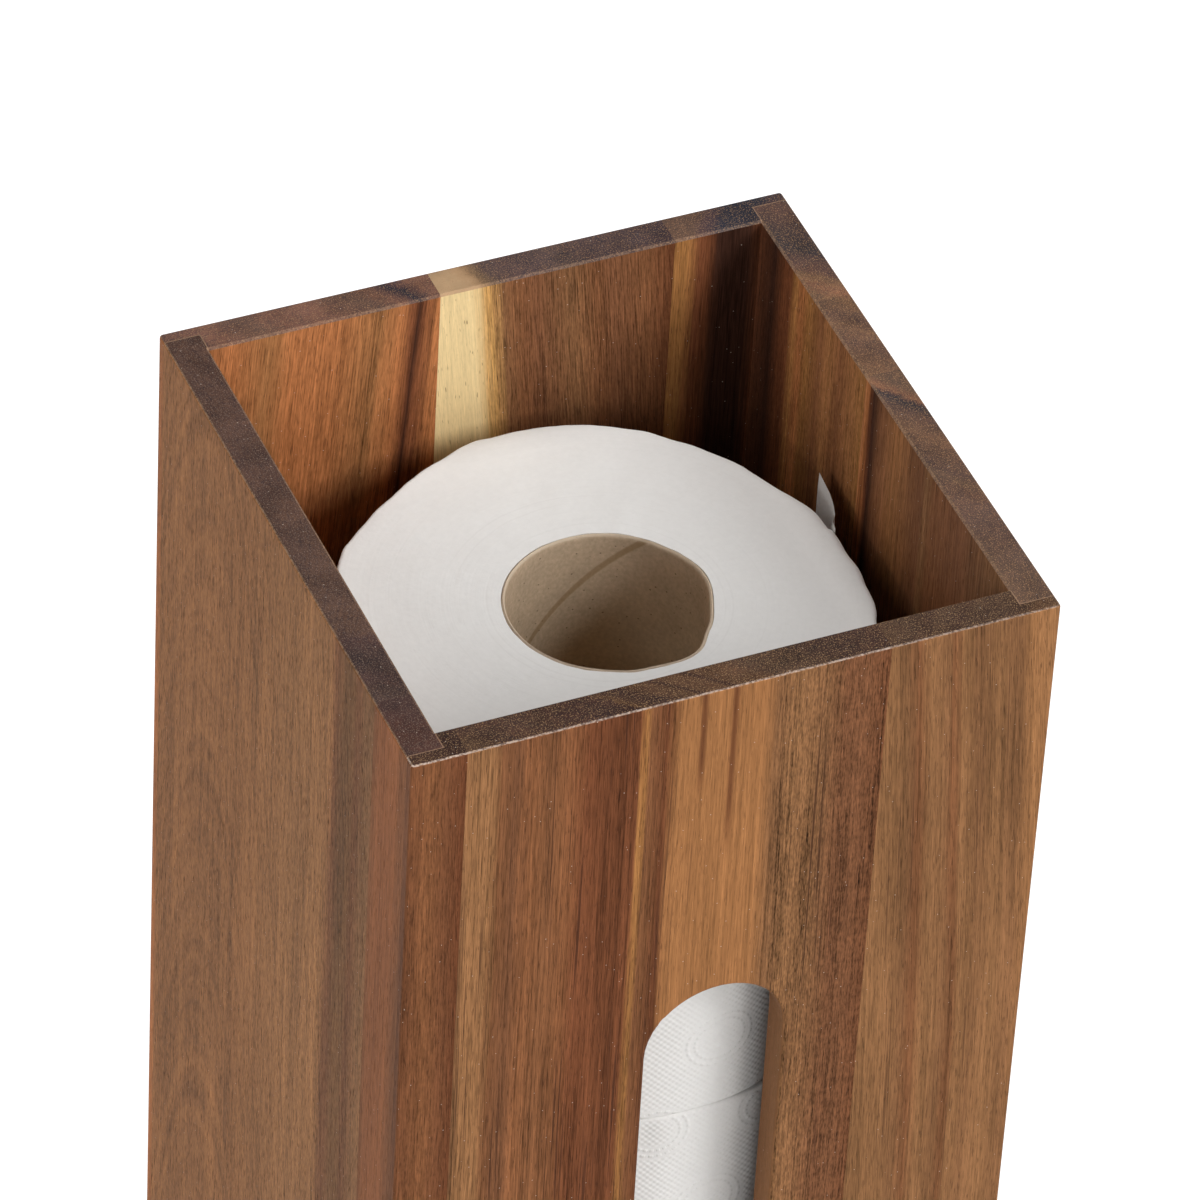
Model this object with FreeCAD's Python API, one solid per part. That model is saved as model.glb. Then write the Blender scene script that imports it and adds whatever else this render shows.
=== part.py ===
import FreeCAD, Part
import math
import os

# Toilet roll storage holder: a tall open-topped box of edge-glued hardwood boards, with a long
# sight slot in its front, around a stack of toilet rolls that lift out of the top.
# The front is towards -Y, the left is -X, and the foot pads stand on Z = 0.

# Driving dimensions, in millimetres and degrees

# Stored rolls, which set the size of the box around them
roll_diameter = 110.0
roll_height = 97.0
roll_count = 4
roll_clearance = 7.0
roll_shift_shares = (0.15, -0.35)
core_bore = 44.0
core_wall = 1.0
core_fit = 0.05
sheet_step = 0.6
paper_edge_chamfer = 1.5
tail_angle = 6.0
tail_turn = 100.0
loose_tail_angle = 15.0
loose_tail_root_angle = 6.0
loose_tail_gap_share = 0.88

# Boards and their corner joints
board_thickness = 8.0
rebate_lip = 3.0
headroom = 34.0
arris_radius = 0.8
rim_chamfer = 0.5

# Base panel, trapped in grooves round the inside of the boards
base_thickness = 6.0
base_rise = 6.0
groove_depth = 3.0
base_fit = 0.2

# Sight slot in the front board
slot_width = 31.0
slot_top_margin = 83.0
slot_bottom_margin = 83.0
slot_arris_radius = 0.8

# Foot pads under the corners of the box
pad_diameter = 7.0
pad_height = 2.0
pad_edge_chamfer = 0.4

# Glue lines across each board, measured from its left or front edge
front_glue_shares = (0.084, 0.734)
back_glue_shares = (0.424, 0.802)
left_glue_shares = (0.127,)
right_glue_shares = (0.56,)
base_glue_shares = (0.46,)

# How far a cut runs past the face it opens, and how close counts as the same place
overrun = 5.0
nearness = 0.01

# Sizes that follow

roll_radius = roll_diameter / 2
core_radius = core_bore / 2 + core_wall
roll_x = roll_clearance * roll_shift_shares[0]
roll_y = roll_clearance * roll_shift_shares[1]

well_half = roll_radius + roll_clearance
box_half = well_half + board_thickness
side_half = box_half - rebate_lip

box_bottom = pad_height
base_bottom = box_bottom + base_rise
base_top = base_bottom + base_thickness
box_rim = base_top + roll_count * roll_height + headroom

slot_low = box_bottom + slot_bottom_margin
slot_high = box_rim - slot_top_margin
slot_half = slot_width / 2


def block(x_range, y_range, z_range):
    """A box between two places on each axis."""
    corner = FreeCAD.Vector(x_range[0], y_range[0], z_range[0])
    sides = [high - low for low, high in (x_range, y_range, z_range)]
    return Part.makeBox(sides[0], sides[1], sides[2], corner)


def square_wire(half, z):
    """A square about the Z axis, at height z."""
    corners = [(-half, -half), (half, -half), (half, half), (-half, half), (-half, -half)]
    return Part.makePolygon([FreeCAD.Vector(x, y, z) for x, y in corners])


def slot_cutter():
    """The round-ended slot, as a bar that runs through the front board."""
    def at(x, z):
        return FreeCAD.Vector(x, -box_half - overrun, z)

    low_centre = slot_low + slot_half
    high_centre = slot_high - slot_half
    outline = Part.Wire([
        Part.makeLine(at(slot_half, low_centre), at(slot_half, high_centre)),
        Part.Arc(at(slot_half, high_centre), at(0, slot_high), at(-slot_half, high_centre)).toShape(),
        Part.makeLine(at(-slot_half, high_centre), at(-slot_half, low_centre)),
        Part.Arc(at(-slot_half, low_centre), at(0, slot_low), at(slot_half, low_centre)).toShape(),
    ])
    depth = board_thickness + 2 * overrun
    return Part.Face(outline).extrude(FreeCAD.Vector(0, depth, 0))


def slot_edges(shape, face_y):
    """The slot's own edges on the board face at face_y."""
    found = []
    for edge in shape.Edges:
        box = edge.BoundBox
        on_face = max(abs(box.YMin - face_y), abs(box.YMax - face_y)) < nearness
        across = max(-box.XMin, box.XMax) < slot_half + nearness
        along = box.ZMin > slot_low - nearness and box.ZMax < slot_high + nearness
        if on_face and across and along:
            found.append(edge)
    return found


def eased_carcass():
    """The four walls in one piece, sanded after assembly: every arris is eased."""
    span = (-box_half, box_half)
    outside = block(span, span, (box_bottom, box_rim))
    outside = outside.makeFillet(arris_radius, outside.Edges)
    well_span = (-well_half, well_half)
    well = block(well_span, well_span, (box_bottom - overrun, box_rim + overrun))
    mouth = Part.makeLoft([
        square_wire(well_half - overrun, box_rim - rim_chamfer - overrun),
        square_wire(well_half + rim_chamfer + overrun, box_rim + overrun),
    ], True, True)
    walls = outside.cut(well).cut(mouth).cut(slot_cutter())
    walls = walls.makeFillet(slot_arris_radius, slot_edges(walls, -box_half))
    return walls.makeFillet(slot_arris_radius, slot_edges(walls, -well_half))


def front_plan():
    """The front board's share of the walls: full width outside, lips over the side boards' ends."""
    outer_y = -box_half - overrun
    outer_x = box_half + overrun
    right_half = [
        (outer_x, outer_y),
        (outer_x, -side_half),
        (well_half, -side_half),
        (well_half, -well_half),
    ]
    left_half = [(-x, y) for x, y in reversed(right_half)]
    corners = right_half + left_half + right_half[:1]
    foot = box_bottom - overrun
    outline = Part.makePolygon([FreeCAD.Vector(x, y, foot) for x, y in corners])
    return Part.Face(outline).extrude(FreeCAD.Vector(0, 0, box_rim - box_bottom + 2 * overrun))


def front_groove():
    """The groove along the inside of the front board, which holds the base panel."""
    y_range = (-well_half - groove_depth, -well_half + overrun)
    return block((-well_half, well_half), y_range, (base_bottom, base_top + base_fit))


def left_plan():
    """The left board's share of the walls, between the lips."""
    x_range = (-box_half - overrun, -well_half)
    return block(x_range, (-side_half, side_half), (box_bottom - overrun, box_rim + overrun))


def left_groove():
    """The groove along the inside of the left board, run out through both of its ends."""
    x_range = (-well_half - groove_depth, -well_half + overrun)
    y_range = (-side_half - overrun, side_half + overrun)
    return block(x_range, y_range, (base_bottom, base_top + base_fit))


def half_turned(shape):
    """The same shape on the opposite side of the box."""
    return shape.rotated(FreeCAD.Vector(0, 0, 0), FreeCAD.Vector(0, 0, 1), 180)


def base_panel():
    """The bottom of the box, with a little play in its grooves."""
    reach = well_half + groove_depth - base_fit
    return block((-reach, reach), (-reach, reach), (base_bottom, base_top))


def staves(board, axis, glue_shares):
    """A board cut at its glue lines, into staves that meet face to face."""
    box = board.BoundBox
    low = (box.XMin, box.YMin, box.ZMin)
    high = (box.XMax, box.YMax, box.ZMax)
    length = high[axis] - low[axis]
    lines = [low[axis] + share * length for share in glue_shares]
    cuts = [low[axis] - overrun] + lines + [high[axis] + overrun]
    pieces = []
    for start, end in zip(cuts, cuts[1:]):
        ranges = [(low[i] - overrun, high[i] + overrun) for i in range(3)]
        ranges[axis] = (start, end)
        pieces.append(board.common(block(*ranges)).Solids[0])
    return pieces


def foot_pad(side_x, side_y):
    """A round pad under one corner of the box, with an eased tread."""
    middle = box_half - board_thickness / 2
    centre = FreeCAD.Vector(side_x * middle, side_y * middle, 0)
    pad = Part.makeCylinder(pad_diameter / 2, pad_height, centre)
    tread = [edge for edge in pad.Edges if edge.BoundBox.ZMax < nearness]
    return pad.makeChamfer(pad_edge_chamfer, tread)


def roll_foot(number):
    """The height at which a roll stands, counted from 1 at the bottom."""
    return base_top + (number - 1) * roll_height


def round_the_roll(number, radius, angle):
    """A point at the foot of a roll, by its distance from the roll's axis and its angle in degrees."""
    x = roll_x + radius * math.cos(math.radians(angle))
    y = roll_y + radius * math.sin(math.radians(angle))
    return FreeCAD.Vector(x, y, roll_foot(number))


def wound_outline(number):
    """The outside of a wound roll: one spiral turn of the last sheet, ended by its tail's step."""
    start = tail_angle + (roll_count - number) * tail_turn

    def at(quarters):
        radius = roll_radius - sheet_step * (1 - quarters / 4)
        return round_the_roll(number, radius, start + quarters * 90)

    turn = [Part.Arc(at(q), at(q + 0.5), at(q + 1)).toShape() for q in range(4)]
    return Part.Wire(turn + [Part.makeLine(at(4), at(0))])


def loose_tail(number):
    """The end of the sheet, standing off the top roll, from its root in the last turn to its free edge."""
    root = tail_angle - loose_tail_root_angle
    tip = tail_angle + loose_tail_angle
    lift = loose_tail_gap_share * roll_clearance

    def at(layer, share):
        radius = roll_radius - layer * sheet_step + lift * share
        angle = tail_angle + (tip - tail_angle) * share
        return round_the_roll(number, radius, angle)

    outline = Part.Wire([
        Part.Arc(at(1, 0), at(1, 0.5), at(1, 1)).toShape(),
        Part.makeLine(at(1, 1), at(0, 1)),
        Part.Arc(at(0, 1), at(0, 0.5), at(0, 0)).toShape(),
        Part.makeLine(at(0, 0), round_the_roll(number, roll_radius - sheet_step, root)),
        Part.makeLine(round_the_roll(number, roll_radius - sheet_step, root), at(1, 0)),
    ])
    return Part.Face(outline).extrude(FreeCAD.Vector(0, 0, roll_height))


def paper_roll(number):
    """The wound paper, with soft shoulders and the hole that its core fills."""
    foot = FreeCAD.Vector(roll_x, roll_y, roll_foot(number))
    paper = Part.Face(wound_outline(number)).extrude(FreeCAD.Vector(0, 0, roll_height))
    barrel = Part.makeCylinder(roll_radius + sheet_step, roll_height, foot)
    rims = [edge for edge in barrel.Edges if isinstance(edge.Curve, Part.Circle)]
    paper = paper.common(barrel.makeChamfer(paper_edge_chamfer, rims))
    if number == roll_count:
        paper = paper.fuse(loose_tail(number))
    hole = Part.makeCylinder(core_radius + core_fit, roll_height, foot)
    return paper.cut(hole).Solids[0]


def core_tube(number):
    """The cardboard tube in the middle of a roll."""
    foot = FreeCAD.Vector(roll_x, roll_y, roll_foot(number))
    tube = Part.makeCylinder(core_radius, roll_height, foot)
    return tube.cut(Part.makeCylinder(core_bore / 2, roll_height, foot))


def all_pieces():
    """Every piece of the holder, and the rolls in it, by name."""
    carcass = eased_carcass()
    front = carcass.common(front_plan()).cut(front_groove())
    back = carcass.common(half_turned(front_plan())).cut(half_turned(front_groove()))
    left = carcass.common(left_plan()).cut(left_groove())
    right = carcass.common(half_turned(left_plan())).cut(half_turned(left_groove()))
    boards = [
        ("front", front, 0, front_glue_shares, ("left", "middle", "right")),
        ("back", back, 0, back_glue_shares, ("left", "middle", "right")),
        ("left", left, 1, left_glue_shares, ("front", "rear")),
        ("right", right, 1, right_glue_shares, ("front", "rear")),
        ("base", base_panel(), 0, base_glue_shares, ("left", "right")),
    ]
    pieces = {}
    for board_name, board, axis, glue_shares, stave_names in boards:
        for stave_name, stave in zip(stave_names, staves(board, axis, glue_shares)):
            pieces[f"{board_name}_stave_{stave_name}"] = stave
    for y_name, side_y in (("front", -1), ("rear", 1)):
        for x_name, side_x in (("left", -1), ("right", 1)):
            pieces[f"foot_pad_{y_name}_{x_name}"] = foot_pad(side_x, side_y)
    for number in range(1, roll_count + 1):
        pieces[f"paper_roll_{number}"] = paper_roll(number)
        pieces[f"core_tube_{number}"] = core_tube(number)
    return pieces


os.makedirs("parts", exist_ok=True)
for piece_name, piece in all_pieces().items():
    piece.exportStep(f"parts/{piece_name}.step")
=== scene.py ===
import math

import bpy
from mathutils import Matrix, Vector, noise as solid_noise


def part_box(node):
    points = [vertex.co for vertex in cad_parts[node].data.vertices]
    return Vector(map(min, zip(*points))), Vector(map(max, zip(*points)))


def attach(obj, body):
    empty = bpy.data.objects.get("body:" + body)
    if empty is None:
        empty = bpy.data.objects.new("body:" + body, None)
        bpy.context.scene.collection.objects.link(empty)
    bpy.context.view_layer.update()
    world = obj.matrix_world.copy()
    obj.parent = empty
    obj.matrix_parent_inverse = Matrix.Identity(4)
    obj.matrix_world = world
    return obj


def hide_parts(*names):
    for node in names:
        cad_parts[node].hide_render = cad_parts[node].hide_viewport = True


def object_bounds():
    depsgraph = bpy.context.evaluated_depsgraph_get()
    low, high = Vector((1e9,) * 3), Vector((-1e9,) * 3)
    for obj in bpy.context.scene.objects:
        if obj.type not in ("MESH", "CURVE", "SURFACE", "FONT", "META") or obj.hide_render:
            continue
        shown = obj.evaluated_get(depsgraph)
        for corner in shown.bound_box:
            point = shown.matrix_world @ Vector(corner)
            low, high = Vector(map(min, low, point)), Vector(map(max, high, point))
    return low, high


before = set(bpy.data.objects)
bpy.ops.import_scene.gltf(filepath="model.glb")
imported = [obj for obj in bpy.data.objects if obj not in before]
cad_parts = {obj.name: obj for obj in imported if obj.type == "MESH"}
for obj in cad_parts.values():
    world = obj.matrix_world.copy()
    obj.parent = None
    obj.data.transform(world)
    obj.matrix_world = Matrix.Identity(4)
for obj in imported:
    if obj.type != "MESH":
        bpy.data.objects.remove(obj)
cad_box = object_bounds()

# Toilet roll storage holder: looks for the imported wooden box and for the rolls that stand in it.
# Lengths are in metres and angles in degrees, in the part's own frame: front -Y, left -X, floor Z = 0.

# Camera of the photo; azimuths are turned from the front towards +X
camera_aim = Vector((-0.0067, -0.0163, 0.4157))
camera_distance = 1.7654
camera_azimuth = -25.04
camera_elevation = 41.38
camera_roll = 3.42
camera_lens = 261.2
camera_sensor = 36.0

# Lamps: where the light comes from, how wide it looks, and what a white face square to it shows
lamps = {
    "key": {"azimuth": 38.0, "elevation": 32.0, "width": 26.0, "level": 0.53},
    "front": {"azimuth": 12.0, "elevation": 14.0, "width": 24.0, "level": 0.29},
    "brow": {"azimuth": -15.0, "elevation": 25.0, "width": 24.0, "level": 0.12},
    "left": {"azimuth": -76.0, "elevation": 13.0, "width": 26.0, "level": 0.365},
    "left_high": {"azimuth": -76.0, "elevation": 40.0, "width": 24.0, "level": 0.085},
    "top": {"azimuth": 140.0, "elevation": 74.0, "width": 26.0, "level": 0.485},
}
ambient_level = 0.01
white = (1.0, 1.0, 1.0)
floor_half = 4.0
floor_gap = 0.0002
floor_tone = (0.60, 0.60, 0.60)
floor_lift = 0.62

# Places on the box, from the frame
rim_height = cad_box[1].z
side_board_low, side_board_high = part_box("left_stave_front")
lip_joint = -side_board_low.y
inner_face = -side_board_high.x
# The face of each board on which its bands were read
face_of = {
    "front": cad_box[0].y,
    "back": inner_face,
    "left": cad_box[0].x,
    "right": inner_face,
    "base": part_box("base_stave_left")[1].z,
}
# Which axis of the frame runs across the grain, into the board and along the grain
grain_of = {
    "front": ("X", "Y", "Z"),
    "back": ("X", "Y", "Z"),
    "left": ("Y", "X", "Z"),
    "right": ("Y", "X", "Z"),
    "base": ("X", "Z", "Y"),
}

# Tones of the wood
tones = {
    "ink": (0.040, 0.017, 0.011),
    "umber": (0.132, 0.046, 0.020),
    "russet": (0.172, 0.060, 0.026),
    "brick": (0.163, 0.063, 0.028),
    "mauve": (0.174, 0.073, 0.034),
    "slate": (0.188, 0.088, 0.036),
    "brown": (0.200, 0.083, 0.036),
    "chestnut": (0.215, 0.086, 0.036),
    "olive": (0.222, 0.104, 0.046),
    "rose": (0.288, 0.107, 0.042),
    "fawn": (0.252, 0.121, 0.052),
    "tan": (0.285, 0.136, 0.058),
    "tawny": (0.292, 0.128, 0.049),
    "straw": (0.328, 0.153, 0.062),
    "gold": (0.325, 0.146, 0.048),
    "honey": (0.325, 0.144, 0.055),
    "amber": (0.435, 0.166, 0.061),
    "saffron": (0.560, 0.310, 0.105),
    "cream": (0.820, 0.625, 0.325),
}
pore_tone = (0.034, 0.014, 0.008)
speck_tone = (0.820, 0.700, 0.600)
# Pale tone of the painted arris highlight on the front boards; the joint tone below also paints that
# highlight on the other boards
arris_highlight_tone = (0.760, 0.600, 0.500)
joint_and_arris_highlight_tone = (0.640, 0.400, 0.240)

# End grain: how much of the tone is left on each board, the grey that it gains, and its flecks
end_shares = {"front": 0.26, "left": 0.24, "back": 0.34, "right": 0.45, "base": 0.28}
end_veils = {
    "front": (0.010, 0.012, 0.016),
    "left": (0.014, 0.016, 0.024),
    "back": (0.014, 0.024, 0.038),
    "right": (0.026, 0.030, 0.036),
    "base": (0.018, 0.019, 0.021),
}
end_flecks = {
    "front": (0.460, 0.285, 0.150),
    "left": (0.270, 0.185, 0.145),
    "back": (0.430, 0.250, 0.135),
    "right": (0.480, 0.275, 0.140),
    "base": (0.460, 0.265, 0.135),
}
end_facing = (0.50, 0.72)
end_cloud_share = 1.2
pale_end_share = 0.42
pale_fleck_share = 0.6
fleck_size = 0.00028
fleck_cut = (0.53, 0.68)
fleck_share = 0.60

# Figure of the wood: how wide and how long each kind of mark is
wander = 0.0030
wander_width = 0.030
wander_length = 0.150
sway_length = 0.120
feather = 0.0040
cloud_width = 0.008
cloud_length = 0.060
streak_width = 0.0016
streak_length = 0.090
line_width = 0.00050
line_length = 0.070
hair_width = 0.00018
hair_length = 0.0080
fibre_width = 0.00045
fibre_length = 0.0030
dash_width = 0.00040
dash_length = 0.0030
pore_width = 0.00016
pore_length = 0.0026
weave_width = 0.00030
weave_length = 0.0013
ripple_width = 0.0040
ripple_length = 0.0013
zone_edge = 0.0030
speck_spacing = 0.0021
speck_radius_share = 0.065
grain_relief = 0.00010
relief_strength = 0.5

# How strong the marks are that every stave has alike, and from which level of their noise they show
wood_level = 1.03
cloud_share = 0.7
fibre_share = 0.5
line_light_share = 2.0
pale_greens = (0.20, 0.50)
pale_calm_share = 0.78
flame_share = 0.85
flame_tip_share = 0.6
cluster_cut = (-0.06, 0.12)
line_cut = (0.03, 0.20)
pore_cut = (0.08, 0.24)
dash_cut = (0.17, 0.24)
dash_share = 0.7
speck_share = 0.6
wood_roughness = 0.45
pore_roughness = 0.20
end_roughness = 0.12
wood_shine = 0.02

# Painted highlight on the eased arrises, where lacquer would catch the light, broken up in places; the pale
# line round the ends of the side boards; and the slot's jamb
arris_facing = (0.50, 0.85)
arris_soft = 0.06
arris_highlight_breakup_cut = (-0.15, 0.15)
arris_highlight_breakup_shares = (0.2, 1.0)
joint_line = 0.00022
joint_share = 0.30
jamb_facing = (0.60, 0.90)
jamb_share = 0.75

# For each stave: where its bands of colour lie across the face that was read, how the growth rings
# lean through the board, how the grain sways, how strong each kind of figure is, and how strong its painted
# arris highlight is
plain_figure = {
    "sway": 0.0, "streak": 0.8, "hair": 1.5, "line": 0.5, "pore": 0.5, "weave": 0.0, "ripple": 0.0,
    "arris": 0.18, "flames": [],
}
staves = {
    "front_stave_left": {
        "lean": 1.2, "line": 0.3, "weave": 0.6, "arris": 0.65,
        "bands": [(-0.070, "brick"), (-0.0655, "chestnut"), (-0.0620, "brick"), (-0.0583, "umber")],
    },
    "front_stave_middle": {
        "lean": 1.2, "streak": 1.0, "line": 0.8, "arris": 0.5, "jamb": "olive",
        "weave": 1.4, "weave_from": 0.009, "ripple": 0.6, "ripple_from": 0.020,
        "calm": (-0.0125, 0.0075, 0.60),
        "flames": [(-0.0010, 0.0013, 0.050), (-0.0078, 0.0012, 0.030)],
        "bands": [
            (-0.0583, "olive"), (-0.0570, "tan"), (-0.0525, "tan"), (-0.0505, "brown"), (-0.0470, "mauve"),
            (-0.0440, "chestnut"), (-0.0400, "brown"), (-0.0360, "chestnut"), (-0.0320, "russet"),
            (-0.0240, "umber"), (-0.0212, "russet"), (-0.0200, "gold"), (-0.0185, "brown"),
            (-0.0150, "umber"), (-0.0125, "honey"),
            (0.0060, "honey"), (0.0090, "olive"), (0.0130, "fawn"), (0.0190, "olive"),
            (0.0240, "mauve"), (0.0280, "mauve"), (0.0327, "brick"),
        ],
    },
    "front_stave_right": {
        "lean": -0.8, "sway": 0.07, "streak": 0.7, "hair": 1.1, "line": 0.55, "arris": 0.35,
        "bands": [
            (0.0327, "fawn"), (0.0360, "olive"), (0.0385, "brown"), (0.0410, "fawn"), (0.0450, "olive"),
            (0.0465, "brown"), (0.0490, "fawn"), (0.0520, "olive"), (0.0560, "fawn"), (0.0600, "olive"),
            (0.0640, "straw"), (0.0700, "tan"),
        ],
    },
    "back_stave_left": {
        "lean": 0.8, "sway": -0.07, "line": 0.25, "weave": 0.4,
        "bands": [
            (-0.0700, "chestnut"), (-0.0560, "amber"), (-0.0480, "honey"), (-0.0420, "amber"),
            (-0.0330, "amber"), (-0.0240, "honey"), (-0.0190, "amber"), (-0.0165, "russet"),
            (-0.0150, "ink"), (-0.0135, "russet"), (-0.0107, "amber"),
        ],
    },
    "back_stave_middle": {
        "lean": 0.35, "sway": 0.09, "hair": 2.0, "line": 0.35, "weave": 0.7,
        "bands": [
            (-0.0107, "cream"), (-0.0038, "cream"), (-0.0005, "saffron"), (0.0030, "olive"),
            (0.0070, "brown"), (0.0110, "mauve"), (0.0190, "olive"), (0.0240, "brown"),
            (0.0280, "mauve"), (0.0350, "brown"), (0.0423, "umber"),
        ],
    },
    "back_stave_right": {
        "lean": -0.7, "line": 0.4,
        # Towards the right-hand corner these bands turn to umber and ink: partly the wood's own dark stripe,
        # partly painted shade of the corner
        "bands": [
            (0.0423, "gold"), (0.0455, "gold"), (0.0480, "russet"), (0.0500, "umber"), (0.0525, "ink"),
            (0.0600, "ink"), (0.0625, "umber"), (0.0660, "brown"), (0.0700, "chestnut"),
        ],
    },
    "left_stave_front": {
        "lean": 0.9, "line": 0.2, "hair": 1.1, "arris": 0.34,
        "bands": [(-0.0670, "chestnut"), (-0.0620, "rose"), (-0.0540, "rose"), (-0.0500, "chestnut")],
    },
    "left_stave_rear": {
        "lean": 0.4, "hair": 0.8, "line": 0.4, "pore": 0.9, "weave": 1.0, "arris": 0.34,
        "pith": (0.0375, 0.094), "tilt": 0.06, "ring": 0.0005, "arch": 1.2,
        "bands": [
            (-0.0500, "fawn"), (-0.0460, "fawn"), (-0.0420, "brown"), (-0.0390, "slate"),
            (-0.0350, "slate"), (-0.0310, "brown"), (-0.0270, "straw"), (-0.0100, "straw"),
            (0.0200, "tawny"), (0.0670, "tawny"),
        ],
    },
    "right_stave_front": {
        "lean": 1.2, "line": 0.4, "arris": 0.28,
        "bands": [
            (-0.0670, "fawn"), (-0.0520, "olive"), (-0.0400, "mauve"), (-0.0260, "brown"),
            (-0.0230, "fawn"), (-0.0200, "mauve"), (-0.0080, "tawny"), (0.0000, "mauve"),
            (0.0035, "ink"), (0.0050, "umber"), (0.0062, "amber"), (0.0100, "fawn"),
        ],
    },
    "right_stave_rear": {
        "lean": 0.8, "line": 0.4, "weave": 1.0, "arris": 0.28,
        # Towards the back corner these bands turn to umber and ink: partly the wood's own dark stripe,
        # partly painted shade of the corner
        "bands": [
            (0.0080, "gold"), (0.0120, "honey"), (0.0200, "brown"), (0.0260, "honey"), (0.0300, "brown"),
            (0.0370, "gold"), (0.0400, "amber"), (0.0440, "gold"), (0.0465, "russet"), (0.0500, "umber"),
            (0.0540, "ink"), (0.0670, "umber"),
        ],
    },
    "base_stave_left": {
        "lean": 0.7,
        "bands": [
            (-0.065, "brown"), (-0.045, "chestnut"), (-0.030, "russet"), (-0.014, "fawn"),
            (-0.005, "olive"),
        ],
    },
    "base_stave_right": {
        "lean": -0.5,
        "bands": [
            (-0.005, "tan"), (0.010, "fawn"), (0.026, "brown"), (0.040, "rose"), (0.065, "russet"),
        ],
    },
}

# Rubber of the foot pads
pad_low = (0.016, 0.015, 0.015)
pad_high = (0.040, 0.038, 0.036)
pad_grain = 0.00045
pad_roughness = 0.65
pad_roughness_spread = 0.20

# Rolls: how finely they are drawn
roll_count = 4
roll_columns = 300
top_rows = 26
side_rows = 44
under_rows = 8
shoulder_rows = 6
core_columns = 150
core_rows = 40
loose_rows = 30
sharp_angle = 50.0

# Rolls: the last sheet's step, the edges, and how each roll is turned against the one above it
sheet_step = 0.0006
tail_start = 6.0
tail_turn = 100.0
hole_turn = 77.0
edge_turn = 131.0
paper_drop = 0.0005
crisp_shoulder = 0.0009
soft_shoulder = 0.0030
soft_shoulder_at = 12.0
soft_shoulder_spread = 50.0

# How far the top roll's edge stands out of round, by angle, and how much of it lasts down the side
edge_offsets = [
    (-24, 0.0010), (-12, -0.0002), (0, -0.0010), (12, -0.0001), (28, -0.0012), (38, -0.0005),
    (50, -0.0002), (60, 0.0014), (73, 0.0022), (85, 0.0020), (96, 0.0023), (108, 0.0006),
    (125, -0.0001), (132, 0.0001), (144, 0.0012), (156, 0.0008), (190, 0.0000), (225, 0.0006),
    (262, 0.0001), (300, 0.0007),
]
edge_lasting_share = 0.45
edge_fade_depth = 0.02
# The same for the core's hole
hole_offsets = [
    (0, 0.0006), (40, -0.0006), (100, -0.0010), (180, -0.0006), (240, -0.0006), (270, 0.0002),
    (299, 0.0020), (318, 0.0006), (338, 0.0001),
]

# Dents in the paper: the size of each kind, how deep it is and, by the edge, how far down it reaches
lump_radius = 0.055
dent_size = 0.012
side_dent = 0.0004
top_dent = 0.00022
edge_dents = [(0.0060, 0.00030, 0.006), (0.0026, 0.00016, 0.003)]
turn_size = 0.0016
turn_height = 0.00010
turn_stretch_share = 0.3

# Loose end of the top roll's last sheet: how far it stands off the roll, by angle
loose_path = [
    (5.0, -0.0004), (7.4, 0.0002), (9.2, 0.0017), (12.0, 0.0027), (15.0, 0.0042), (18.0, 0.0059),
    (21.0, 0.0078),
]
loose_thickness = 0.00025
flutter_size = 0.02
flutter_height = 0.0006
flutter_stretch = 2

# Core tube: its wall, its rounded cut rim as shares of the wall and drops, and its winding seam
core_drop = 0.0003
core_slack = 0.0008
core_wall = 0.0009
core_rim_drop = 0.0012
core_length_share = 0.985
core_rim = [(0.85, 0.0003), (0.5, 0.0), (0.15, 0.0003)]
seam_lead = 0.125
seam_angle = 43.0
seam_width = 0.0019

# Paper: tones, and the embossing of its outer face, which repeats a whole number of times round the roll
paper_low = (0.765, 0.755, 0.735)
paper_high = (0.830, 0.820, 0.800)
wound_low = (0.60, 0.585, 0.56)
fluff_size = 0.0012
winding_size = 0.00045
winding_lumps = 3
dots_round = 216
dot_pitch = 0.0016
dot_height_share = 0.25
motifs_round = 13
motif_pitch = 0.024
motif_radii = (0.0052, 0.0068)
motif_line = 0.0006
motif_dots = 26
motif_height_share = 1.4
bead_cut = (-0.6, 0.6)
bead_shares = (0.3, 1.0)
paper_end_facing = (0.5, 0.9)
paper_relief = 0.00022
paper_relief_strength = 0.6
paper_roughness = 0.95
paper_shine = 0.1
# Turns of the winding that stand a little open, in patches round the roll's end
ring_radii = (0.0245, 0.0262, 0.0312, 0.0334)
ring_line = 0.0004
patch_width = 0.0009
patch_lumps = 5
patch_cut = (0.40, 0.60)
ring_tone_share = 0.14
wound_tone_share = 0.2
ring_relief_share = 0.4
end_relief_share = 0.3
fluff_relief_share = 0.5

# Core board
board_low = (0.430, 0.325, 0.215)
board_high = (0.730, 0.570, 0.405)
board_fleck = (0.120, 0.085, 0.055)
board_rim = (0.660, 0.540, 0.410)
seam_tone = (0.320, 0.200, 0.090)
board_grain = 0.0009
board_patch = 0.008
board_patch_level = 0.8
board_patch_share = 0.4
board_speck = 0.0022
board_speck_cut = (0.06, 0.12)
board_speck_share = 0.7
board_edge = 0.0007
board_rim_share = 0.8
edge_soft_share = 0.3
seam_soft_shares = (0.3, 0.7)
seam_share = 0.6
board_relief = 0.00020
board_roughness = 0.9
board_shine = 0.1


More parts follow.
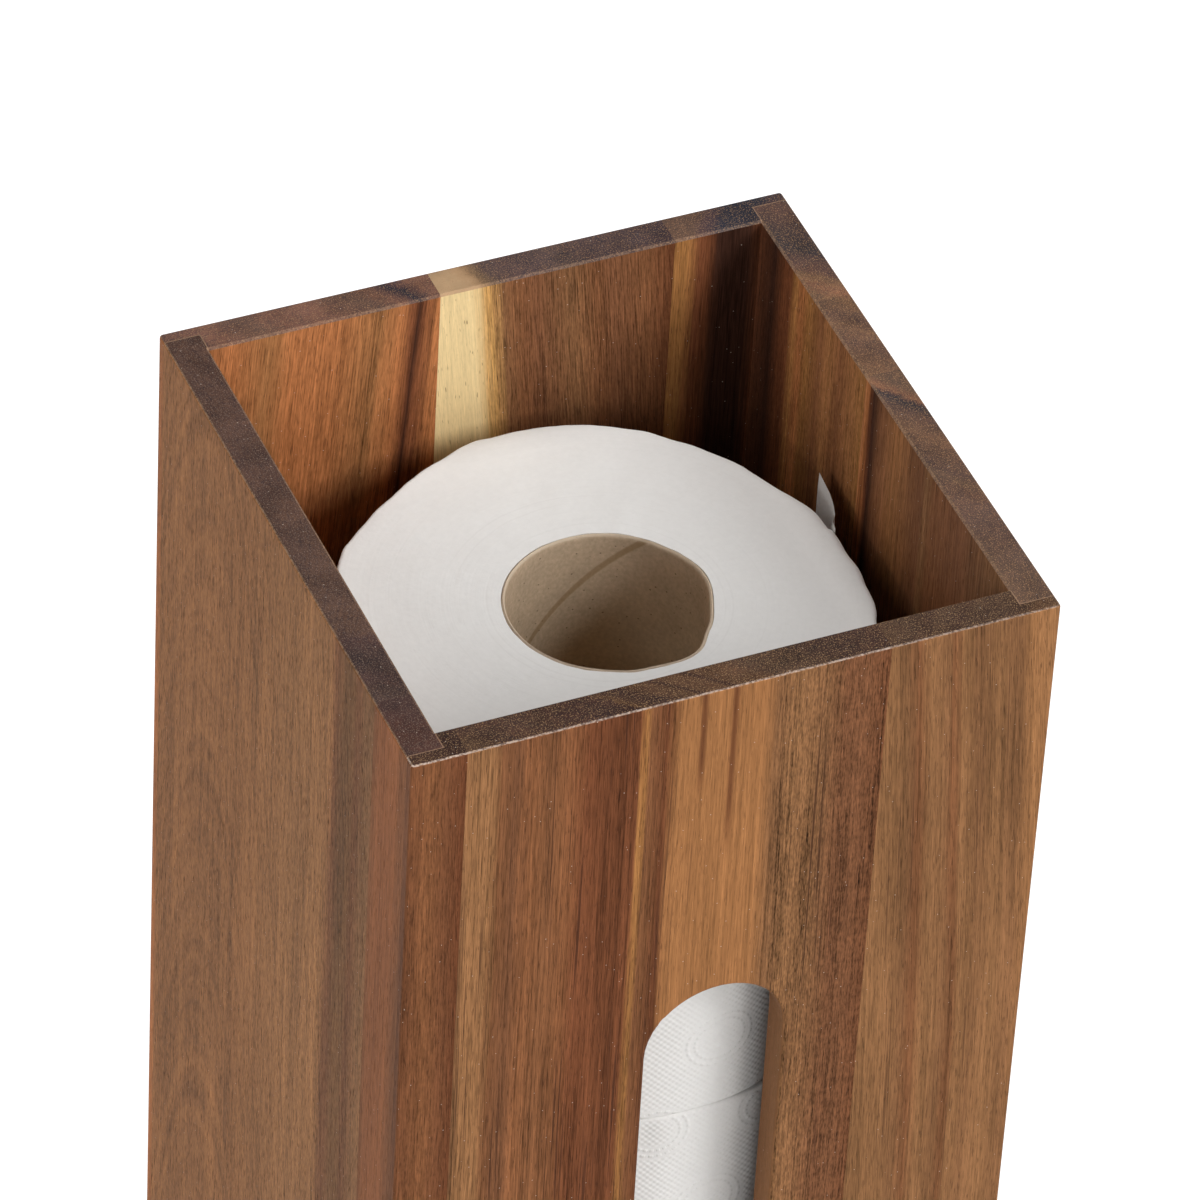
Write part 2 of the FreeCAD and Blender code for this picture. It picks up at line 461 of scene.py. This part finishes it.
class Field:
    """A quantity that varies over a surface: a formula of fields becomes a chain of nodes."""

    def __init__(self, tree, socket):
        self.tree = tree
        self.socket = socket

    def math(self, operation, *others):
        node = self.tree.nodes.new("ShaderNodeMath")
        node.operation = operation
        for socket, value in zip(node.inputs, (self,) + others):
            plug(value, socket)
        return Field(self.tree, node.outputs[0])

    def __add__(self, other):
        return self.math("ADD", other)

    def __sub__(self, other):
        return self.math("SUBTRACT", other)

    def __mul__(self, other):
        return self.math("MULTIPLY", other)

    def __truediv__(self, other):
        return self.math("DIVIDE", other)

    def size(self):
        return self.math("ABSOLUTE")

    def sine(self):
        return self.math("SINE")

    def between(self, low, high, start=0.0, end=1.0):
        """Eases from start, at or below low, to end, at or above high."""
        places = {"Value": self, "From Min": low, "From Max": high, "To Min": start, "To Max": end}
        return build(self.tree, "ShaderNodeMapRange", places, interpolation_type="SMOOTHSTEP")


def plug(value, socket):
    """Feeds a node's socket from a field, or with a plain value."""
    if isinstance(value, Field):
        value.tree.links.new(value.socket, socket)
    else:
        socket.default_value = value


def build(tree, kind, inputs, output=0, **settings):
    """Adds one node and gives one of its outputs as a field."""
    node = tree.nodes.new(kind)
    for name, value in settings.items():
        setattr(node, name, value)
    for name, value in inputs.items():
        plug(value, node.inputs[name])
    return Field(tree, node.outputs[output])


def place(x, y, z):
    """A point made of three fields."""
    return build(x.tree, "ShaderNodeCombineXYZ", {"X": x, "Y": y, "Z": z})


def scaled(point, size):
    """A point, given as three fields, measured in lumps of one size."""
    return place(*(axis / size for axis in point))


def noise(point, octaves=2.0):
    """Soft noise of about one lump for each unit of the point."""
    return build(point.tree, "ShaderNodeTexNoise", {"Vector": point, "Scale": 1.0, "Detail": octaves})


def cells(point):
    """How far each place is from the nearest of scattered points, one for each unit."""
    return build(point.tree, "ShaderNodeTexVoronoi", {"Vector": point, "Scale": 1.0})


def mixed(factor, first, second):
    """A colour between two others."""
    inputs = {0: factor, 6: first, 7: second}
    return build(factor.tree, "ShaderNodeMix", inputs, output=2, data_type="RGBA")


def brightened(colour, factor):
    """A colour times a plain factor."""
    return build(colour.tree, "ShaderNodeVectorMath", {0: colour, "Scale": factor}, operation="SCALE")


def veiled(colour, veil):
    """A colour with a little of another added."""
    return build(colour.tree, "ShaderNodeVectorMath", {0: colour, 1: veil}, operation="ADD")


def opaque(tone):
    """A tone with the alpha that a colour socket wants."""
    return (*tone, 1.0)


def new_material(name):
    """A material with a Principled shader, and the tree behind it."""
    material = bpy.data.materials.new(name)
    material.use_nodes = True
    tree = material.node_tree
    return material, tree, tree.nodes["Principled BSDF"]


def frame_axes(tree):
    """The part's own X, Y and Z over a surface."""
    coordinates = tree.nodes.new("ShaderNodeTexCoord")
    split = tree.nodes.new("ShaderNodeSeparateXYZ")
    tree.links.new(coordinates.outputs["Object"], split.inputs[0])
    return {axis: Field(tree, split.outputs[axis]) for axis in "XYZ"}


def facing(tree, axis):
    """How squarely a surface faces along an axis, either way."""
    geometry = tree.nodes.new("ShaderNodeNewGeometry")
    split = tree.nodes.new("ShaderNodeSeparateXYZ")
    tree.links.new(geometry.outputs["Normal"], split.inputs[0])
    return Field(tree, split.outputs[axis]).size()


def banded(side, bands):
    """The colour of each band, by the place across the grain."""
    low = bands[0][0]
    high = bands[-1][0]
    ramp = side.tree.nodes.new("ShaderNodeValToRGB")
    plug((side - low) / (high - low), ramp.inputs[0])
    points = ramp.color_ramp.elements
    while len(points) < len(bands):
        points.new(1.0)
    for point, (where, tone) in zip(points, bands):
        point.position = (where - low) / (high - low)
        point.color = opaque(tones[tone])
    return Field(side.tree, ramp.outputs[0])


def stretched(point, width, length, octaves=1.0):
    """Noise drawn out along the grain, from about -0.5 to 0.5."""
    across, depth, along = point
    return noise(place(across / width, depth / width, along / length), octaves) - 0.5


def within(field, low, high, soft):
    """One between two limits, and nothing beyond them."""
    return field.between(low - soft, low + soft) * field.between(high - soft, high + soft, 1.0, 0.0)


def beyond(side, start):
    """One past a place across the grain, and nothing before it."""
    return side.between(start - zone_edge, start + zone_edge)


def relief(height, depth, strength):
    """A surface normal that follows a height."""
    inputs = {"Height": height, "Distance": depth, "Strength": strength}
    return build(height.tree, "ShaderNodeBump", inputs)


def arches(figure, side, inward, along):
    """Rings round a pith that leans away behind the face: arches on a flat-sawn board."""
    pith_side, pith_depth = figure["pith"]
    out = side - pith_side
    back = inward + along * figure["tilt"] + pith_depth
    ring = (out * out + back * back).math("SQRT") / figure["ring"]
    return noise(place(ring, ring * 0.0, ring * 0.0), octaves=3.0) - 0.5


def green(colour):
    """How pale a colour is, read from its green."""
    split = colour.tree.nodes.new("ShaderNodeSeparateColor")
    colour.tree.links.new(colour.socket, split.inputs[0])
    return Field(colour.tree, split.outputs["Green"])


def figured(point, side, inward, figure):
    """The colour of planed wood: bands, with clouds, streaks, hairs and fibres over them."""
    streak = stretched(point, streak_width, streak_length, octaves=3.0)
    colour = banded(side + streak * feather, figure["bands"])
    pale = green(colour).between(*pale_greens)
    strong = pale * -pale_calm_share + 1.0
    if "calm" in figure:
        start, stop, share = figure["calm"]
        strong = strong * (within(side, start, stop, zone_edge) * (share - 1.0) + 1.0)
    light = streak * figure["streak"]
    light = light + stretched(point, cloud_width, cloud_length, octaves=2.0) * cloud_share
    light = light + stretched(point, hair_width, hair_length) * figure["hair"]
    light = light + stretched(point, fibre_width, fibre_length) * fibre_share
    light = light + stretched(point, line_width, line_length) * (figure["line"] * line_light_share)
    weave = stretched(point, weave_width, weave_length) * figure["weave"]
    ripple = stretched(point, ripple_width, ripple_length, octaves=2.0) * figure["ripple"]
    if "weave_from" in figure:
        weave = weave * beyond(side, figure["weave_from"])
        ripple = ripple * beyond(side, figure["ripple_from"])
    light = light + weave + ripple
    if "arch" in figure:
        light = light + arches(figure, side, inward, point[2]) * figure["arch"]
    return brightened(colour, light * strong + wood_level), strong, pale


def lined(colour, point, side, figure, strong, pale):
    """Dark flames by the rim, growth lines in clusters, and the short dark dashes of cut pores."""
    for middle, half, length in figure["flames"]:
        flame = (side - middle).size().between(0.0, half, 1.0, 0.0)
        flame = flame * (point[2] - rim_height).between(-length, -length * flame_tip_share)
        colour = mixed(flame * flame_share, colour, opaque(tones["umber"]))
    cluster = stretched(point, cloud_width, streak_length, octaves=2.0).between(*cluster_cut)
    line = stretched(point, line_width, line_length).between(*line_cut) * cluster * strong
    colour = mixed(line * figure["line"], colour, opaque(tones["ink"]))
    pore = stretched(point, pore_width, pore_length).between(*pore_cut) * strong
    dash = stretched(point, dash_width, dash_length).between(*dash_cut) * pale
    colour = mixed(dash * dash_share, colour, opaque(tones["brown"]))
    return mixed(pore * figure["pore"], colour, opaque(pore_tone)), pore


def sawn(colour, point, end, board, pale):
    """End grain: darker and greyer, with flecks of gold."""
    gold = opaque(end_flecks[board])
    share = pale.between(0.0, 1.0, end_shares[board], pale_end_share)
    dark = veiled(brightened(colour, share), end_veils[board])
    dark = mixed(pale * pale_fleck_share, dark, gold)
    cloud = stretched(point, cloud_width, cloud_width, octaves=3.0)
    dark = brightened(dark, cloud * end_cloud_share + 1.0)
    fleck = noise(scaled(point, fleck_size)).between(*fleck_cut)
    return mixed(end, colour, mixed(fleck * fleck_share, dark, gold))


def joint(across, depth):
    """The pale line round the end of a side board, where it meets the rebate."""
    half = joint_line / 2
    along_lip = across.size().between(lip_joint - joint_line - half, lip_joint - half)
    corner = across.size().between(inner_face - joint_line, inner_face)
    cheek = depth.size().between(inner_face + half, inner_face + joint_line + half, 1.0, 0.0)
    return along_lip.math("MAXIMUM", cheek * corner)


def painted_arris_highlight(upright, point):
    """Painted highlight on the eased arris between a face and the end grain, broken up in places."""
    highlight_breakup = stretched(point, line_width, line_width, octaves=2.0)
    return within(upright, *arris_facing, arris_soft) * highlight_breakup.between(*arris_highlight_breakup_cut, *arris_highlight_breakup_shares)


def specks(point):
    """Dust caught in the lacquer."""
    near = cells(scaled(point, speck_spacing))
    return near.between(speck_radius_share / 2, speck_radius_share, 1.0, 0.0)


def acacia(name, figure):
    """Lacquered acacia for one stave."""
    figure = {**plain_figure, **figure}
    material, tree, shader = new_material(name)
    axes = frame_axes(tree)
    board = name.split("_")[0]
    grain = grain_of[board]
    across, depth, along = (axes[axis] for axis in grain)
    shift = sum(ord(letter) for letter in name) * wander_width
    drift = stretched((across + shift, depth, along), wander_width, wander_length, octaves=2.0) * wander
    sway = ((along - rim_height) / sway_length).sine() * (figure["sway"] * sway_length)
    inward = depth - face_of[board]
    side = across + inward * figure["lean"] + drift + sway
    point = (across + drift + sway + shift, depth, along)
    colour, strong, pale = figured(point, side, inward, figure)
    colour, pore = lined(colour, point, side, figure, strong, pale)
    upright = facing(tree, grain[2])
    end = upright.between(*end_facing)
    colour = sawn(colour, point, end, board, pale)
    # Painted highlight along the eased arrises: pale on the front, in the joint tone on the other boards
    arris_highlight_colour = arris_highlight_tone if board == "front" else joint_and_arris_highlight_tone
    colour = mixed(painted_arris_highlight(upright, point) * figure["arris"], colour, opaque(arris_highlight_colour))
    if board in ("left", "right"):
        colour = mixed(joint(across, depth) * end * joint_share, colour, opaque(joint_and_arris_highlight_tone))
    if "jamb" in figure:
        jamb = facing(tree, grain[0]).between(*jamb_facing)
        colour = mixed(jamb * jamb_share, colour, opaque(tones[figure["jamb"]]))
    colour = mixed(specks(point) * speck_share, colour, opaque(speck_tone))
    plug(colour, shader.inputs["Base Color"])
    plug(pore * pore_roughness + end * end_roughness + wood_roughness, shader.inputs["Roughness"])
    shader.inputs["Specular IOR Level"].default_value = wood_shine
    plug(relief(pore * -1.0, grain_relief, relief_strength), shader.inputs["Normal"])
    return material


def rubber():
    """Matt black rubber with a fine moulded grain."""
    material, tree, shader = new_material("pad_rubber")
    grain = noise(scaled(frame_axes(tree).values(), pad_grain), octaves=3.0)
    plug(mixed(grain, opaque(pad_low), opaque(pad_high)), shader.inputs["Base Color"])
    plug(grain * pad_roughness_spread + pad_roughness, shader.inputs["Roughness"])
    plug(relief(grain, grain_relief, relief_strength), shader.inputs["Normal"])
    return material


def set_material(obj, material):
    obj.data.materials.clear()
    obj.data.materials.append(material)


def dress_cad():
    """Wood for the staves and rubber for the pads."""
    for name, figure in staves.items():
        set_material(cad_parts[name], acacia(name, figure))
    pad_material = rubber()
    for name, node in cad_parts.items():
        if name.startswith("foot_pad"):
            set_material(node, pad_material)


def eased(knots, angle):
    """A value that eases from knot to knot round the circle."""
    turn = (angle - knots[0][0]) % 360 + knots[0][0]
    ring = knots + [(knots[0][0] + 360, knots[0][1])]
    for (start, low), (end, high) in zip(ring, ring[1:]):
        if start <= turn <= end:
            share = (turn - start) / (end - start)
            return low + (high - low) * (1 - math.cos(math.pi * share)) / 2
    return knots[0][1]


def lump(number, angle, height, size):
    """Smooth noise round a roll, from -1 to 1, with lumps of about the given size."""
    turn = math.radians(angle)
    point = Vector((math.cos(turn), math.sin(turn), 0)) * lump_radius
    point.z = height + number
    return solid_noise.noise(point / size)


def net(rows, ring_of_rows):
    """Points and quads over rows of points, each row closed into a loop."""
    columns = len(rows[0])
    faces = []
    for first in range(len(rows) - (0 if ring_of_rows else 1)):
        second = (first + 1) % len(rows)
        for left in range(columns):
            right = (left + 1) % columns
            faces.append((
                first * columns + left, second * columns + left,
                second * columns + right, first * columns + right,
            ))
    return [point for row in rows for point in row], faces


def mesh_object(name, nets):
    """One object made of one or more nets."""
    points = []
    faces = []
    for net_points, net_faces in nets:
        faces += [tuple(corner + len(points) for corner in face) for face in net_faces]
        points += net_points
    mesh = bpy.data.meshes.new(name)
    mesh.from_pydata(points, [], faces)
    mesh.validate()
    mesh.polygons.foreach_set("use_smooth", [True] * len(mesh.polygons))
    mesh.set_sharp_from_angle(angle=math.radians(sharp_angle))
    piece = bpy.data.objects.new(name, mesh)
    bpy.context.scene.collection.objects.link(piece)
    return piece


class Roll:
    """The sizes of one roll, read from its CAD nodes."""

    def __init__(self, number):
        low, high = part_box(f"core_tube_{number}")
        self.number = number
        self.below_top = roll_count - number
        self.axis = (low + high) / 2
        self.foot = low.z
        self.top = high.z
        self.core_radius = (high.x - low.x) / 2
        self.tail = tail_start + self.below_top * tail_turn
        unwound = 1 - (180 - self.tail) % 360 / 360
        self.radius = self.axis.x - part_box(f"paper_roll_{number}")[0].x + sheet_step * unwound

    def at(self, radius, angle, z):
        turn = math.radians(angle)
        return Vector((self.axis.x + radius * math.cos(turn), self.axis.y + radius * math.sin(turn), z))

    def hole(self, angle):
        """The radius of the core's outside."""
        return self.core_radius - core_slack + eased(hole_offsets, angle + self.below_top * hole_turn)

    def edge(self, angle, depth):
        """The radius of the paper at a depth below its top edge."""
        near_top = math.exp(-depth / edge_fade_depth)
        lasting = edge_lasting_share + (1 - edge_lasting_share) * near_top
        out = eased(edge_offsets, angle + self.below_top * edge_turn) * lasting
        out += lump(self.number, angle, depth, dent_size) * side_dent
        for size, height, reach in edge_dents:
            out += lump(self.number, angle, 0, size) * height * math.exp(-depth / reach)
        return self.radius + out

    def shoulder(self, angle):
        """How far the top edge is rounded over: softly near the loose end, crisply elsewhere."""
        away = abs((angle - soft_shoulder_at + 180) % 360 - 180)
        share = max(0.0, 1 - away / soft_shoulder_spread)
        return crisp_shoulder + (soft_shoulder - crisp_shoulder) * share * share * (3 - 2 * share)


def paper_profile(roll, angle, spiral):
    """Points from the hole's top edge, over the top, down the side and under, at one angle."""
    points = []
    top = roll.top - paper_drop
    height = roll.top - roll.foot - paper_drop
    shoulder = roll.shoulder(angle)
    hole = roll.hole(angle)
    lip = roll.edge(angle, 0) - shoulder - spiral
    for row in range(top_rows):
        radius = hole + (lip - hole) * row / top_rows
        turns = lump(roll.number, angle * turn_stretch_share, radius, turn_size) * turn_height
        dents = lump(roll.number, angle, radius, dent_size) * top_dent
        points.append(roll.at(radius, angle, top + turns + dents))
    for row in range(shoulder_rows + 1):
        turn = math.radians(90 * row / shoulder_rows)
        depth = shoulder * (1 - math.cos(turn))
        radius = roll.edge(angle, depth) - spiral - shoulder * (1 - math.sin(turn))
        points.append(roll.at(radius, angle, top - depth))
    for row in range(1, side_rows):
        depth = shoulder + (height - shoulder - crisp_shoulder) * row / side_rows
        points.append(roll.at(roll.edge(angle, depth) - spiral, angle, top - depth))
    for row in range(shoulder_rows + 1):
        turn = math.radians(90 * row / shoulder_rows)
        depth = height - crisp_shoulder * (1 - math.sin(turn))
        radius = roll.edge(angle, depth) - spiral - crisp_shoulder * (1 - math.cos(turn))
        points.append(roll.at(radius, angle, top - depth))
    foot_lip = roll.edge(angle, roll.top - roll.foot) - spiral - crisp_shoulder
    for row in range(1, under_rows + 1):
        radius = foot_lip + (hole - foot_lip) * row / under_rows
        points.append(roll.at(radius, angle, roll.foot))
    return points


def paper_piece(roll):
    """The wound paper, with the step where its last sheet ends."""
    columns = []
    for column in range(roll_columns + 1):
        share = column / roll_columns
        columns.append(paper_profile(roll, roll.tail + share * 360, sheet_step * (1 - share)))
    rows = [list(row) for row in zip(*columns)]
    nets = [net(rows, True)]
    if roll.number == roll_count:
        nets.append(loose_end(roll))
    return mesh_object(f"wound_paper_{roll.number}", nets)


def loose_end(roll):
    """The last sheet's free end, standing off the roll: a thin leaf, outer face, edge and inner face."""
    rows = []
    top = roll.top - paper_drop
    furthest = loose_path[-1][1]
    for row in range(loose_rows + 1):
        depth = (top - roll.foot) * row / loose_rows
        thin = 0.0 if row in (0, loose_rows) else loose_thickness
        outer = []
        inner = []
        for angle, stand in loose_path:
            free = max(0.0, stand) / furthest
            flutter = lump(roll.number, angle * flutter_stretch, depth, flutter_size) * flutter_height * free
            radius = roll.edge(angle, 0) + stand + flutter
            outer.append(roll.at(radius + thin / 2, angle, top - depth))
            inner.append(roll.at(radius - thin / 2, angle, top - depth))
        rows.append(outer + inner[::-1])
    return net(rows, False)


def core_piece(roll):
    """The cardboard tube, wound from a strip with one long seam."""
    rows = []
    length = (roll.top - roll.foot) * core_length_share
    drops = [-core_rim_drop - length * row / core_rows for row in range(core_rows + 1)]
    inside = [(core_wall, z) for z in reversed(drops)]
    rim = [(core_wall * share, -drop) for share, drop in core_rim]
    outside = [(0.0, z) for z in drops]
    for wall, z in inside + rim + outside:
        row = []
        for column in range(core_columns):
            angle = column * 360 / core_columns - 360 * z / seam_lead
            row.append(roll.at(roll.hole(angle) - wall, angle, roll.top - core_drop + z))
        rows.append(row)
    return mesh_object(f"core_board_tube_{roll.number}", [net(rows, True)])


def roll_polar(axes, roll):
    """A roll's own radius, angle as a share of a turn, and height, over its surface."""
    x = axes["X"] - roll.axis.x
    y = axes["Y"] - roll.axis.y
    radius = (x * x + y * y).math("SQRT")
    return radius, y.math("ARCTAN2", x) / (2 * math.pi), axes["Z"]


def embossing(turn, height):
    """Raised dots all over, with double rings of dots set in staggered rows."""
    one = ((turn * dots_round + height / dot_pitch) * (2 * math.pi)).math("COSINE")
    two = ((turn * dots_round - height / dot_pitch) * (2 * math.pi)).math("COSINE")
    row = height / motif_pitch
    column = turn * motifs_round + row.math("FLOOR") * 0.5
    x = (column.math("FRACT") - 0.5) * motif_pitch
    y = (row.math("FRACT") - 0.5) * motif_pitch
    radius = (x * x + y * y).math("SQRT")
    beads = (y.math("ARCTAN2", x) * motif_dots).sine().between(*bead_cut, *bead_shares)
    inner, outer = ((radius - size).size().between(0.0, motif_line, 1.0, 0.0) for size in motif_radii)
    rings = inner.math("MAXIMUM", outer) * beads
    clear = within(radius, motif_radii[0] - motif_line * 2, motif_radii[1] + motif_line * 2, motif_line)
    return (one + two) * dot_height_share * (clear * -1.0 + 1.0) + rings * motif_height_share


def open_turns(radius):
    """One on the turns of the winding that stand a little open."""
    turns = radius * 0.0
    for ring in ring_radii:
        turns = turns.math("MAXIMUM", (radius - ring).size().between(0.0, ring_line, 1.0, 0.0))
    return turns


def tissue(roll):
    """Soft white tissue: embossed outer face, and the fine turns of the winding on the ends."""
    material, tree, shader = new_material(f"tissue_{roll.number}")
    axes = frame_axes(tree)
    radius, turn, height = roll_polar(axes, roll)
    end = facing(tree, "Z").between(*paper_end_facing)
    fluff = noise(scaled(axes.values(), fluff_size), octaves=4.0)
    level = height / roll.radius
    wound = noise(place(radius / winding_size, turn * winding_lumps, level)) - 0.5
    patch = noise(place(radius / patch_width, turn * patch_lumps, level)).between(*patch_cut)
    loose = open_turns(radius) * patch
    tone = mixed(fluff, opaque(paper_low), opaque(paper_high))
    tone = mixed((loose * ring_tone_share + wound * wound_tone_share) * end, tone, opaque(wound_low))
    plug(tone, shader.inputs["Base Color"])
    shader.inputs["Roughness"].default_value = paper_roughness
    shader.inputs["Specular IOR Level"].default_value = paper_shine
    bumps = embossing(turn, height) * (end * -1.0 + 1.0)
    bumps = bumps + (wound - loose * ring_relief_share) * end * end_relief_share
    bumps = bumps + fluff * fluff_relief_share
    plug(relief(bumps, paper_relief, paper_relief_strength), shader.inputs["Normal"])
    return material


def core_board(roll):
    """Grey-brown cardboard with flecks, a paler cut rim, and a darker line along the seam."""
    material, tree, shader = new_material(f"core_board_{roll.number}")
    axes = frame_axes(tree)
    turn, height = roll_polar(axes, roll)[1:]
    grain = noise(scaled(axes.values(), board_grain), octaves=4.0)
    patch = noise(scaled(axes.values(), board_patch), octaves=3.0)
    tone = mixed(grain, opaque(board_low), opaque(board_high))
    tone = brightened(tone, patch * board_patch_share + board_patch_level)
    fleck = cells(scaled(axes.values(), board_speck)).between(*board_speck_cut, board_speck_share, 0.0)
    tone = mixed(fleck, tone, opaque(board_fleck))
    along = (turn + (height - roll.top) / seam_lead - seam_angle / 360).math("FRACT") - 0.5
    away = (along.size() * -1.0 + 0.5) * seam_lead
    seam = away.between(*(seam_width * share for share in seam_soft_shares), seam_share, 0.0)
    tone = mixed(seam, tone, opaque(seam_tone))
    rim = (height - (roll.top - core_drop)).between(-board_edge, -board_edge * edge_soft_share)
    tone = mixed(rim * board_rim_share, tone, opaque(board_rim))
    plug(tone, shader.inputs["Base Color"])
    shader.inputs["Roughness"].default_value = board_roughness
    shader.inputs["Specular IOR Level"].default_value = board_shine
    plug(relief(grain, board_relief, relief_strength), shader.inputs["Normal"])
    return material


def dress_rolls():
    """Paper and core for each roll, in place of its plain solids."""
    for number in range(1, roll_count + 1):
        roll = Roll(number)
        paper = paper_piece(roll)
        set_material(paper, tissue(roll))
        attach(paper, f"roll_{number}")
        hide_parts(f"paper_roll_{number}")
        core = core_piece(roll)
        set_material(core, core_board(roll))
        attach(core, f"roll_{number}")
        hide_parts(f"core_tube_{number}")


def seen_directly(tree):
    """One for rays from the camera, off gloss or through glass, and nothing for scattered light."""
    path = tree.nodes.new("ShaderNodeLightPath")
    camera, glossy, clear = (
        Field(tree, path.outputs[name]) for name in ("Is Camera Ray", "Is Glossy Ray", "Is Transmission Ray")
    )
    return camera.math("MAXIMUM", glossy).math("MAXIMUM", clear)


def add_floor():
    """A white floor that keeps the object's shadow."""
    corners = [(-1, -1), (1, -1), (1, 1), (-1, 1)]
    mesh = bpy.data.meshes.new("floor")
    mesh.from_pydata([(x * floor_half, y * floor_half, -floor_gap) for x, y in corners], [], [(0, 1, 2, 3)])
    floor = bpy.data.objects.new("floor", mesh)
    bpy.context.scene.collection.objects.link(floor)
    material, tree, shader = new_material("floor_white")
    shader.inputs["Base Color"].default_value = opaque(floor_tone)
    shader.inputs["Roughness"].default_value = 1.0
    shader.inputs["Specular IOR Level"].default_value = 0.0
    shader.inputs["Emission Color"].default_value = opaque(white)
    plug(seen_directly(tree) * floor_lift, shader.inputs["Emission Strength"])
    set_material(floor, material)


def add_world():
    """White where it is seen, and a plain level of soft light elsewhere."""
    world = bpy.data.worlds.new("studio")
    bpy.context.scene.world = world
    world.use_nodes = True
    tree = world.node_tree
    background = tree.nodes["Background"]
    background.inputs["Color"].default_value = opaque(white)
    plug(seen_directly(tree) * (1 - ambient_level) + ambient_level, background.inputs["Strength"])


def direction(azimuth, elevation):
    """Towards where an azimuth and an elevation point."""
    turn = math.radians(azimuth)
    rise = math.radians(elevation)
    return Vector((math.sin(turn) * math.cos(rise), -math.cos(turn) * math.cos(rise), math.sin(rise)))


def add_lamps():
    """Broad suns, each shining from its own direction."""
    for name, lamp in lamps.items():
        light = bpy.data.lights.new(name, "SUN")
        light.energy = lamp["level"] * math.pi
        light.angle = math.radians(lamp["width"])
        holder = bpy.data.objects.new(name, light)
        back = direction(lamp["azimuth"], lamp["elevation"])
        holder.rotation_euler = back.to_track_quat("Z", "Y").to_euler()
        bpy.context.scene.collection.objects.link(holder)


def add_camera():
    """The photo's viewpoint."""
    back = direction(camera_azimuth, camera_elevation)
    data = bpy.data.cameras.new("photo_camera")
    data.sensor_width = camera_sensor
    data.lens = camera_lens
    camera = bpy.data.objects.new("photo_camera", data)
    turn = back.to_track_quat("Z", "Y").to_matrix() @ Matrix.Rotation(math.radians(camera_roll), 3, "Z")
    camera.matrix_world = Matrix.Translation(camera_aim + back * camera_distance) @ turn.to_4x4()
    bpy.context.scene.collection.objects.link(camera)
    bpy.context.scene.camera = camera


bpy.context.scene.view_settings.view_transform = "Standard"
dress_cad()
dress_rolls()
add_floor()
add_world()
add_lamps()
add_camera()
